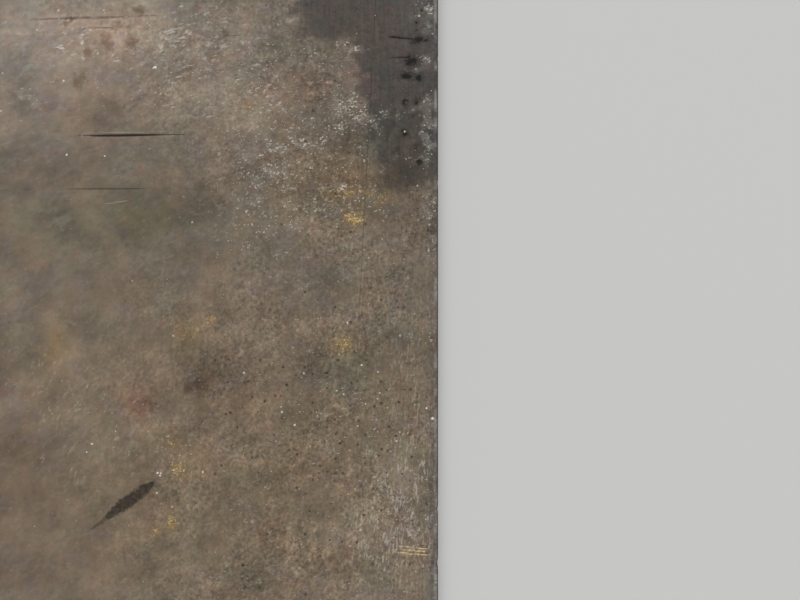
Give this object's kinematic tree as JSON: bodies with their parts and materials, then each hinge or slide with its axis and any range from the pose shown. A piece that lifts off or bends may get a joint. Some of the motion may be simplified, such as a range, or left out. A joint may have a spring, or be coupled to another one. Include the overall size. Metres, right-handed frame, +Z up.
{
  "type": "steel plate",
  "caption": "Flat rectangular plate of hot rolled steel with sheared edges, rusted and scratched mill scale, lying flat.",
  "frame": {"origin": "middle of the bottom face, on the surface that the plate lies on", "axes": "+X across the width, +Y along the length, which is the rolling direction, +Z up through the thickness"},
  "size_m": [1.3, 2.4384, 0.0063],
  "materials": {
    "mill_scale": "dull brown grey mill scale with light rust, stains and scratches"
  },
  "bodies": {
    "root": {"steel_plate": "mill_scale"}
  },
  "joints": []
}
